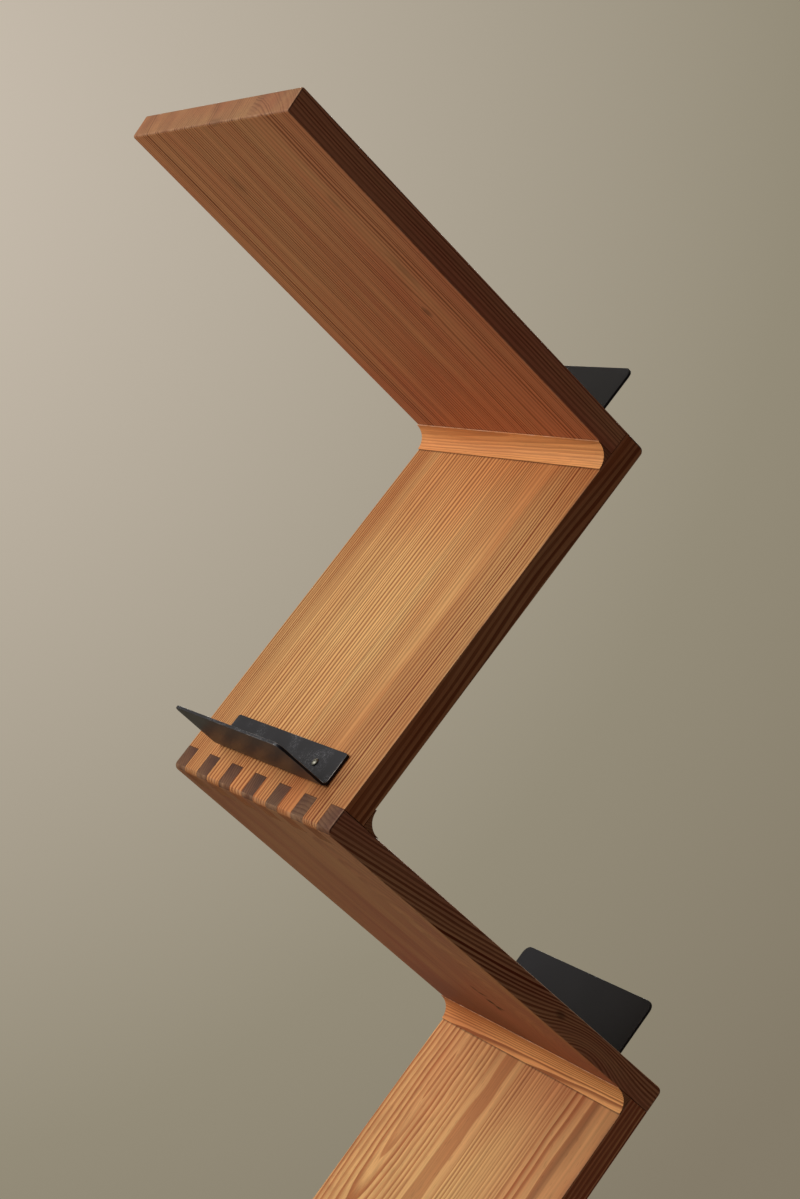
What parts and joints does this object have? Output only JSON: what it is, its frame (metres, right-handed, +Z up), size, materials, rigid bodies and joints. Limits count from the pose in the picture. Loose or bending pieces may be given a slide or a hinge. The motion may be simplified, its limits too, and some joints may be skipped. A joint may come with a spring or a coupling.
{
  "type": "magazine shelf",
  "caption": "Free-standing zig-zag magazine shelf: slanted finger-jointed pine boards, cove strips in the inner corners, and bent black steel rests on both sides.",
  "frame": {"origin": "on the floor, under the middle of the base board", "axes": "+Z up; X across the shelf along the finger joints; the front faces -Y"},
  "size_m": [0.3, 0.4, 1.3773],
  "materials": {
    "oregon_pine": "oiled, satin",
    "cove_pine": "oiled, satin",
    "black_steel": "black lacquer, satin",
    "zinc_steel": "zinc plated"
  },
  "bodies": {
    "root": {"board_1": "oregon_pine", "board_2": "oregon_pine", "board_3": "oregon_pine", "board_4": "oregon_pine", "board_5": "oregon_pine", "base_board": "oregon_pine", "cove_strip_1": "cove_pine", "cove_strip_2": "cove_pine", "cove_strip_3": "cove_pine", "cove_strip_4": "cove_pine", "base_wedge_strip": "cove_pine", "magazine_rest_1": "black_steel", "magazine_rest_2": "black_steel", "magazine_rest_3": "black_steel", "magazine_rest_4": "black_steel", "magazine_rest_5": "black_steel", "rest_screw_1_left": "zinc_steel", "rest_screw_1_right": "zinc_steel", "rest_screw_2_left": "zinc_steel", "rest_screw_2_right": "zinc_steel", "rest_screw_3_left": "zinc_steel", "rest_screw_3_right": "zinc_steel", "rest_screw_4_left": "zinc_steel", "rest_screw_4_right": "zinc_steel", "rest_screw_5_left": "zinc_steel", "rest_screw_5_right": "zinc_steel", "base_screw_1": "zinc_steel", "base_screw_2": "zinc_steel", "base_screw_3": "zinc_steel", "base_screw_4": "zinc_steel"}
  },
  "joints": []
}
